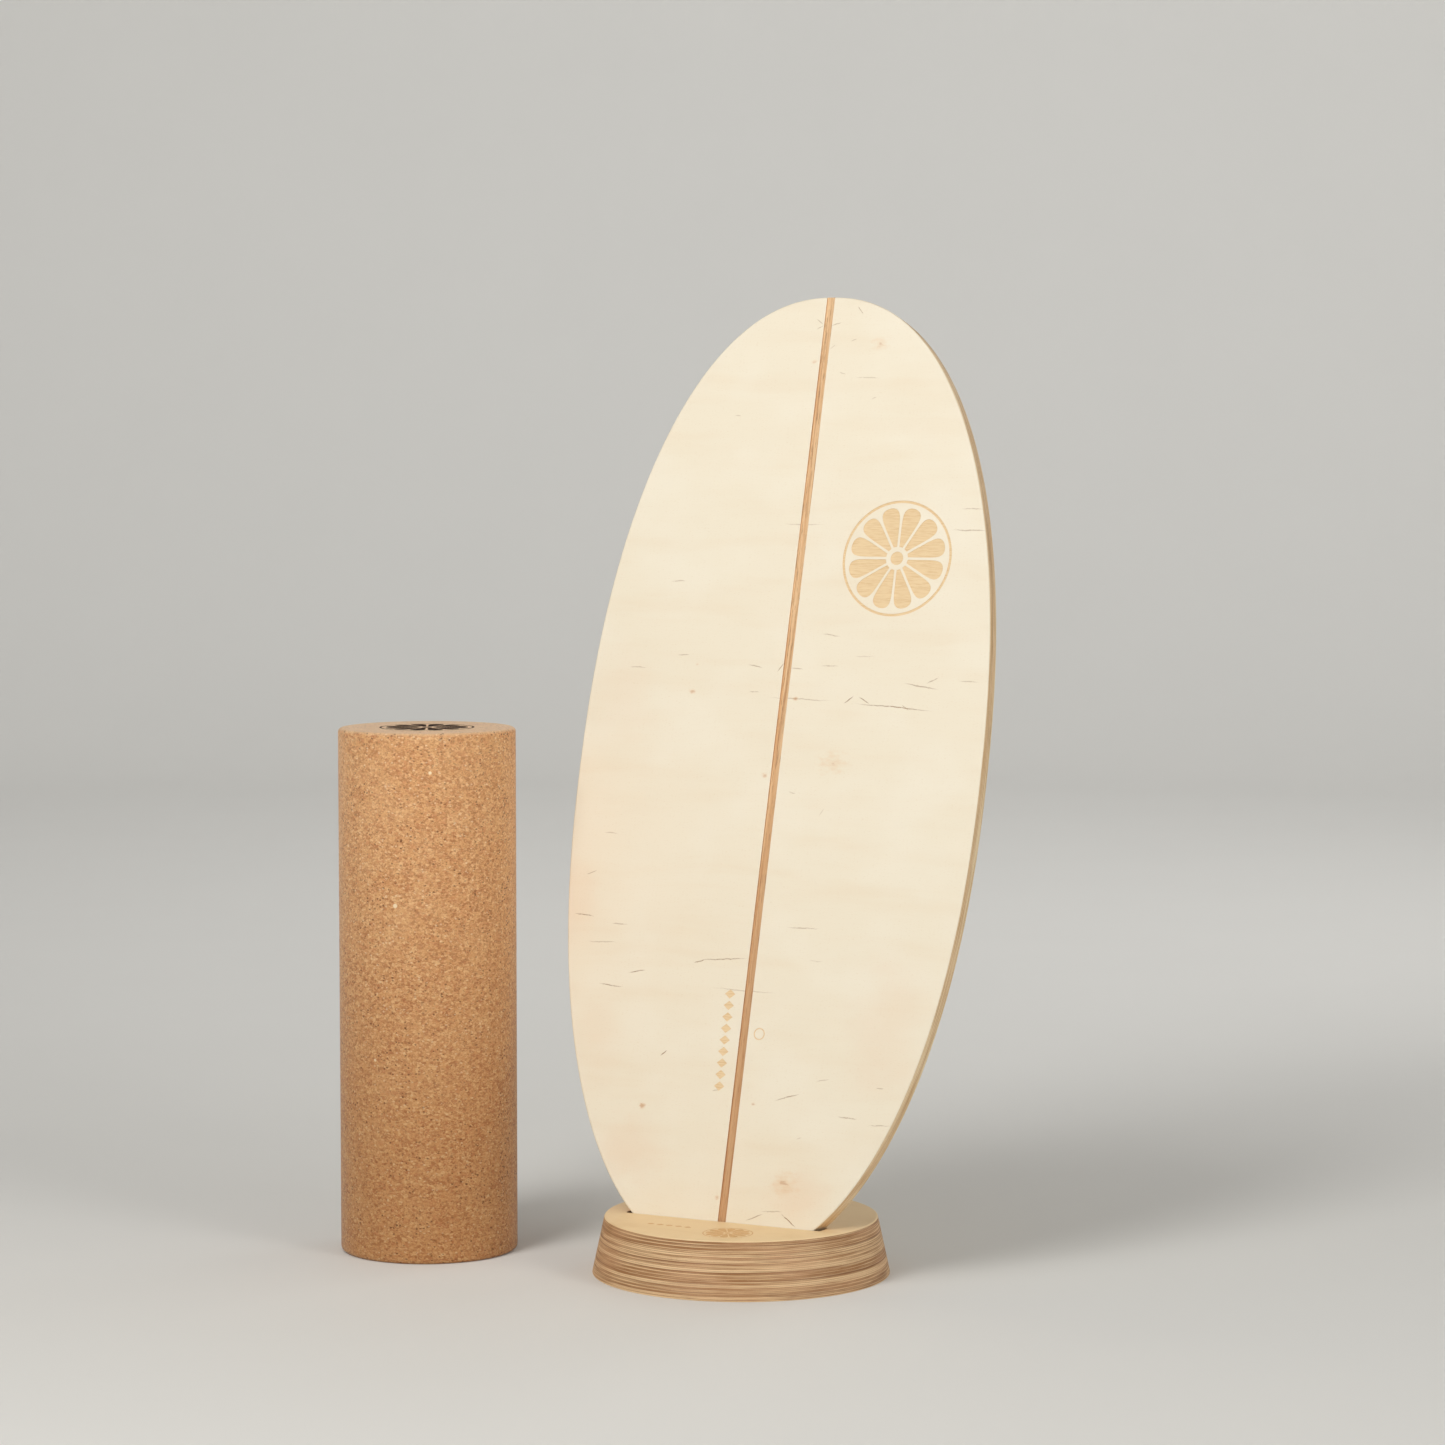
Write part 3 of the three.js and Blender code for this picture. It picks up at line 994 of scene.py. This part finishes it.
def oval(half_width, half_length):
    """The deck's outline as points with their outward normals."""
    outline = []
    for angle in full_turn(DECK_POINTS):
        across = signed_power(math.cos(angle), 2 / DECK_FULLNESS)
        along = signed_power(math.sin(angle), 2 / DECK_FULLNESS)
        point = Vector((across * half_width, along * half_length))
        slope_x = signed_power(across, DECK_FULLNESS - 1) / half_width
        slope_y = signed_power(along, DECK_FULLNESS - 1) / half_length
        outline.append((point, Vector((slope_x, slope_y)).normalized()))
    return outline


def screw_profile(allowance):
    """(radius, height) of a screw, or of its hole, from the tip up to the head."""
    cone = SCREW_HEAD_RADIUS - SCREW_CREST_RADIUS
    top = SCREW_SINK + allowance if allowance else 0.0
    neck = -SCREW_HEAD_RIM - cone - allowance
    return [
        (0.02 * MM, -SCREW_LENGTH - allowance),
        (SCREW_CREST_RADIUS + allowance, -SCREW_LENGTH + SCREW_TIP_LENGTH - allowance),
        (SCREW_CREST_RADIUS + allowance, neck),
        (SCREW_HEAD_RADIUS + allowance, -SCREW_HEAD_RIM - allowance),
        (SCREW_HEAD_RADIUS + allowance, top),
    ]


def screw_matrix(x, y):
    """A screw points into the deck from below, so it is turned over about X."""
    return Matrix.Translation((x, y, RAIL_BACK + SCREW_SINK)) @ Matrix.Rotation(math.pi, 4, "X")


def screw_holes(y):
    holes = []
    for side in (-1, 0, 1):
        hole = ring_solid(turned(screw_profile(HOLE_GAP), SCREW_SEGMENTS), EDGE)
        hole.transform(screw_matrix(side * SCREW_SPACING, y))
        holes.append(hole)
    return holes


def deck_board(half_width, half_length, materials):
    outline = oval(half_width - INSIDE, half_length - INSIDE)
    rings = panel_rings(outline, DECK_THICKNESS - INSIDE, DECK_EDGE_RADIUS)
    mesh = mesh_from(ring_solid(rings), "deck")
    paint_sides(mesh)
    half = STRINGER_WIDTH / 2
    reach = 1.2 * half_length
    corners = [(-half, -reach), (half, -reach), (half, reach), (-half, reach)]
    groove = prism(corners, -STRINGER_DEPTH, STRINGER_DEPTH, DECK_GROOVE)
    middle = (DECK_BADGE_X, DECK_BADGE_Y, 0)
    badge = rosette_cutter(DECK_BADGE_RADIUS, middle, DECK_BADGE_DEPTH, DECK_ORNAMENT)
    holes = screw_holes(RAIL_OFFSET) + screw_holes(-RAIL_OFFSET)
    row = lozenge_row(DECK_ROW, True, 0.0, DECK_ORNAMENT)
    return subtract(mesh, [groove, badge, small_ring(), *row, *holes], materials)


def rail_outline():
    end = RAIL_WIDTH / 2 - INSIDE
    straight = RAIL_LENGTH / 2 - RAIL_WIDTH / 2
    outline = []
    for side in (1, -1):
        for index in range(RAIL_END_POINTS + 1):
            angle = math.pi / 2 * (2 * index / RAIL_END_POINTS - 1)
            normal = side * Vector((math.cos(angle), math.sin(angle)))
            outline.append((Vector((side * straight, 0)) + normal * end, normal))
    return outline


def stop_rail(y, materials):
    top = RAIL_BACK + RAIL_THICKNESS
    solid = ring_solid(panel_rings(rail_outline(), RAIL_THICKNESS, RAIL_EDGE_RADIUS, top))
    bmesh.ops.translate(solid, verts=solid.verts, vec=(0, y, 0))
    mesh = mesh_from(solid, "rail")
    paint_sides(mesh)
    return subtract(mesh, screw_holes(y), materials)


def drive_ring(height, scale):
    """A six-lobed ring, counter-clockwise from above."""
    ring = []
    for angle in full_turn(SCREW_SEGMENTS):
        lobe = 0.5 + 0.5 * math.cos(6 * angle)
        radius = scale * (DRIVE_WAIST_RADIUS + (DRIVE_RADIUS - DRIVE_WAIST_RADIUS) * lobe)
        ring.append(at_angle(radius, angle, height))
    return ring


def thread_ring(height):
    """A ring through the thread: its radius rises and falls once per turn."""
    taper = min(1.0, max(SCREW_POINT, (height + SCREW_LENGTH) / SCREW_TIP_LENGTH))
    ring = []
    for index, angle in enumerate(full_turn(SCREW_SEGMENTS)):
        phase = (height / THREAD_PITCH - index / SCREW_SEGMENTS) % 1.0
        crest = max(0.0, 1 - abs(phase - 0.5) / THREAD_CREST)
        radius = taper * (SCREW_ROOT_RADIUS + (SCREW_CREST_RADIUS - SCREW_ROOT_RADIUS) * crest)
        ring.append(at_angle(radius, angle, height))
    return ring


def wood_screw():
    """Countersunk screw with a thread and a six-lobed drive, head up at z = 0."""
    cone = SCREW_HEAD_RADIUS - SCREW_ROOT_RADIUS
    neck = -SCREW_HEAD_RIM - cone
    threaded = SCREW_LENGTH + neck - SCREW_SHANK_LENGTH
    count = round(threaded / THREAD_STEP)
    rings = [thread_ring(-SCREW_LENGTH + threaded * index / count) for index in range(count)]
    profile = [
        (SCREW_ROOT_RADIUS, neck - SCREW_SHANK_LENGTH),
        (SCREW_ROOT_RADIUS, neck),
        (SCREW_HEAD_RADIUS - 0.08 * MM, -SCREW_HEAD_RIM - 0.05 * MM),
        (SCREW_HEAD_RADIUS, -SCREW_HEAD_RIM),
        (SCREW_HEAD_RADIUS, -SCREW_HEAD_CHAMFER),
        (SCREW_HEAD_RADIUS - SCREW_HEAD_CHAMFER, 0.0),
        (DRIVE_RADIUS + 0.35 * MM, 0.0),
    ]
    rings += turned(profile, SCREW_SEGMENTS)
    rings += [drive_ring(0.0, 1.04), drive_ring(-0.12 * MM, 1.0), drive_ring(-DRIVE_DEPTH, 0.96)]
    floor = -1.1 * DRIVE_DEPTH
    rings.append([Vector((0.3 * point.x, 0.3 * point.y, floor)) for point in rings[-1]])
    return mesh_from(ring_solid(rings), "screw")


def build_deck():
    place, half_width, half_length = deck_place()
    tones = (LONG_GRAIN, END_GRAIN, GLUE_LINE, EDGE_PINK)
    face = deck_veneer(place)
    edge = ply_edge("birch_ply_edge", DECK_PLIES, -15.0, tones, 0.0, place)
    stringer = stringer_veneer(place)
    engraved = engraved_wood("engraved_birch", ENGRAVED, ENGRAVED_DARK, place)
    rail_face = plain_veneer("rail_face_veneer", (VENEER, VENEER_WARM, VENEER_PALE), place)
    rail_edge = ply_edge("rail_ply_edge", DECK_PLIES, RAIL_BACK / MM, tones, 0.0, place)
    metal = steel(place)

    board = deck_board(half_width, half_length, (face, edge, stringer, engraved))
    add_piece("deck_panel", board, ["deck_board"], "deck", place)
    for end, y in (("upper", RAIL_OFFSET), ("lower", -RAIL_OFFSET)):
        rail = stop_rail(y, (rail_face, rail_edge))
        add_piece(f"{end}_rail", rail, [f"{end}_stop_rail"], "deck", place)
        for side, x in (("left", -SCREW_SPACING), ("middle", 0.0), ("right", SCREW_SPACING)):
            screw = wood_screw()
            set_materials(screw, [metal])
            node = f"{end}_rail_screw_{side}"
            name = f"{end}_screw_{side}"
            add_piece(name, screw, [node], "deck", place @ screw_matrix(x, y))


# ---- stand


def stand_radius(height):
    slope = (STAND_TOP_RADIUS - STAND_BASE_RADIUS) / STAND_HEIGHT
    return STAND_BASE_RADIUS + slope * height - INSIDE


def rounded_corner(start, corner, end):
    """Points of the curve that rounds a corner, start and end included."""
    points = []
    for index in range(RIM_STEPS + 1):
        share = index / RIM_STEPS
        first = start.lerp(corner, share)
        second = corner.lerp(end, share)
        points.append(first.lerp(second, share))
    return points


def disc_profile(bottom, top, is_base, is_top):
    low = Vector((stand_radius(bottom), bottom))
    high = Vector((stand_radius(top), top))
    if is_base:
        wall = bottom + STAND_FOOT_EDGE_RADIUS
        inner = Vector((low.x - STAND_FOOT_EDGE_RADIUS, bottom))
        lower = rounded_corner(inner, low, Vector((stand_radius(wall), wall)))
    else:
        lower = [low]
    if is_top:
        wall = top - STAND_TOP_EDGE_RADIUS
        inner = Vector((high.x - STAND_TOP_EDGE_RADIUS, top))
        upper = rounded_corner(Vector((stand_radius(wall), wall)), high, inner)
    else:
        upper = [high]
    return [(point.x, point.y) for point in lower + upper]


def slot_cutter():
    """The slot slants with the deck, so its prism runs along the deck's lift axis."""
    front = SLOT_CLEARANCE
    back = -DECK_THICKNESS - SLOT_CLEARANCE
    reach = 2 * STAND_HEIGHT
    corner = SLOT_CORNER_RADIUS
    middles = [
        (SLOT_HALF_LENGTH - corner, front - corner, 0.0),
        (corner - SLOT_HALF_LENGTH, front - corner, math.pi / 2),
        (corner - SLOT_HALF_LENGTH, back + corner, math.pi),
        (SLOT_HALF_LENGTH - corner, back + corner, 1.5 * math.pi),
    ]
    outline = []
    for x, z, start in middles:
        for turn in quarter(CURVE_STEPS):
            angle = start + turn
            outline.append(Vector((x + corner * math.cos(angle), z + corner * math.sin(angle))))
    solid = prism(outline, -reach, reach, EDGE)
    across, along, out = deck_axes()
    turn = Matrix((across, out, along)).transposed().to_4x4()
    solid.transform(Matrix.Translation((0, SLOT_FRONT_Y, STAND_HEIGHT)) @ turn)
    return solid


def build_stand():
    face = plain_veneer("stand_face_veneer", (STAND_VENEER, STAND_VENEER_WARM, STAND_VENEER))
    engraved = engraved_wood("engraved_stand", STAND_ENGRAVED, STAND_ENGRAVED_DARK)
    tones = (STAND_LONG_GRAIN, STAND_END_GRAIN, STAND_STREAK, STAND_EDGE_PINK)
    names = ["stand_base_disc", "stand_lower_disc", "stand_middle_disc", "stand_top_disc"]
    for index, node in enumerate(names):
        low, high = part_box(node)
        is_top = index == len(names) - 1
        edge = ply_edge(f"stand_ply_edge_{index}", STAND_PLIES, low.z / MM, tones, BROWNER[index])
        bottom = low.z if index == 0 else low.z - DISC_JOINT
        top = high.z if is_top else high.z + DISC_JOINT
        profile = disc_profile(bottom, top, index == 0, is_top)
        disc = mesh_from(ring_solid(turned(profile, STAND_SEGMENTS)), "disc")
        paint_sides(disc)
        materials = (face, edge, engraved)
        cutters = []
        if index > 0:
            cutters.append(slot_cutter())
        if is_top:
            place = (STAND_BADGE_X, STAND_BADGE_Y, high.z)
            badge = rosette_cutter(STAND_BADGE_RADIUS, place, STAND_BADGE_DEPTH, STAND_ORNAMENT)
            cutters.append(badge)
            cutters += lozenge_row(STAND_ROW, False, high.z, STAND_ORNAMENT)
        if cutters:
            disc = subtract(disc, cutters, materials)
        else:
            set_materials(disc, materials)
        name = node.replace("stand_", "") + "_turned"
        add_piece(name, disc, [node], "stand")


# ---- roller


def cork_relief(point):
    """How far the worn cork surface lies below the turned one, at a point of it."""
    near = noise.voronoi(point / GRANULE)[0]
    seam = max(0.0, 1 - (near[1] - near[0]) / 0.25)
    swell = 0.5 + 0.5 * noise.noise(point / (4 * GRANULE))
    pit = max(0.0, noise.noise(point / (1.4 * GRANULE)) - 0.35)
    return (0.03 + 0.1 * seam + 0.08 * swell + 0.7 * pit) * MM


def roller_profile():
    """(radius, height) from the foot to the upper end, with finer rows at the rounded rims."""
    radius = ROLLER_RADIUS - INSIDE
    rim = ROLLER_EDGE_RADIUS
    profile = []
    for angle in quarter(RIM_STEPS):
        profile.append((radius - rim + rim * math.sin(angle), rim - rim * math.cos(angle)))
    span = ROLLER_LENGTH - 2 * rim
    for index in range(1, ROLLER_ROWS):
        profile.append((radius, rim + span * index / ROLLER_ROWS))
    for radius_now, height in reversed(profile[: RIM_STEPS + 1]):
        profile.append((radius_now, ROLLER_LENGTH - height))
    return profile


def build_roller():
    low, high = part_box("cork_roller")
    centre = Vector(((low.x + high.x) / 2, (low.y + high.y) / 2, 0))
    rings = turned(roller_profile(), ROLLER_SEGMENTS)
    for ring in rings[1:-1]:
        for point in ring:
            inward = Vector((point.x, point.y, 0)).normalized()
            point -= inward * cork_relief(point)
    mesh = mesh_from(ring_solid(rings), "roller")
    top = (0, 0, ROLLER_LENGTH)
    badge = rosette_cutter(ROLLER_BADGE_RADIUS, top, ROLLER_BADGE_DEPTH, ROLLER_ORNAMENT)
    mesh = subtract(mesh, [badge], (cork(), burnt_cork()))
    place = Matrix.Translation(centre)
    add_piece("roller_turned", mesh, ["cork_roller"], "roller", place)


# ---- studio


def build_studio():
    """Pale floor that sweeps up into a wall all round, outside every view's camera."""
    profile = [(0.01, 0.0), (1.5, 0.0), (3.0, 0.0)]
    for angle in quarter(SWEEP_STEPS):
        profile.append((FLOOR_RADIUS + SWEEP * math.sin(angle), SWEEP - SWEEP * math.cos(angle)))
    profile.append((FLOOR_RADIUS + SWEEP, WALL_HEIGHT))
    solid = bmesh.new()
    rows = [[solid.verts.new(point) for point in ring] for ring in turned(profile, STUDIO_SEGMENTS)]
    for inner, outer in zip(rows, rows[1:]):
        for index in range(len(inner)):
            after = (index + 1) % len(inner)
            solid.faces.new((inner[index], outer[index], outer[after], inner[after]))
    solid.faces.new(rows[0])
    for face in solid.faces:
        face.smooth = True
    mesh = bpy.data.meshes.new("studio_floor")
    solid.to_mesh(mesh)
    solid.free()
    mesh.materials.append(floor_paint())
    floor = bpy.data.objects.new("studio_floor", mesh)
    link(floor)


def soft_light(name, place, aim, size, power, tint, spread):
    data = bpy.data.lights.new(name, "AREA")
    data.spread = math.radians(spread)
    data.shape = "DISK"
    data.size = size
    data.energy = power
    data.color = tint
    lamp = bpy.data.objects.new(name, data)
    lamp.location = place
    direction = Vector(aim) - Vector(place)
    lamp.rotation_mode = "QUATERNION"
    lamp.rotation_quaternion = direction.to_track_quat("-Z", "Y")
    lamp.visible_camera = False
    link(lamp)


def build_lights():
    world = bpy.data.worlds.new("studio")
    bpy.context.scene.world = world
    world.use_nodes = True
    background = world.node_tree.nodes["Background"]
    background.inputs["Color"].default_value = SKY
    background.inputs["Strength"].default_value = SKY_STRENGTH
    for light in LIGHTS:
        soft_light(*light)


def build_camera():
    azimuth = math.radians(CAMERA_AZIMUTH)
    heading = math.radians(CAMERA_HEADING)
    pitch = math.radians(CAMERA_PITCH)
    data = bpy.data.cameras.new("camera")
    data.sensor_width = SENSOR_WIDTH
    data.lens = FOCAL_LENGTH
    camera = bpy.data.objects.new("camera", data)
    camera.location = at_angle(CAMERA_DISTANCE, azimuth - math.pi / 2, CAMERA_HEIGHT)
    level = math.cos(pitch)
    forward = Vector((-math.sin(heading) * level, math.cos(heading) * level, -math.sin(pitch)))
    camera.rotation_mode = "QUATERNION"
    camera.rotation_quaternion = forward.to_track_quat("-Z", "Y")
    link(camera)
    bpy.context.scene.camera = camera


build_deck()
build_stand()
build_roller()
build_studio()
build_lights()
build_camera()
bpy.context.scene.view_settings.view_transform = "Standard"
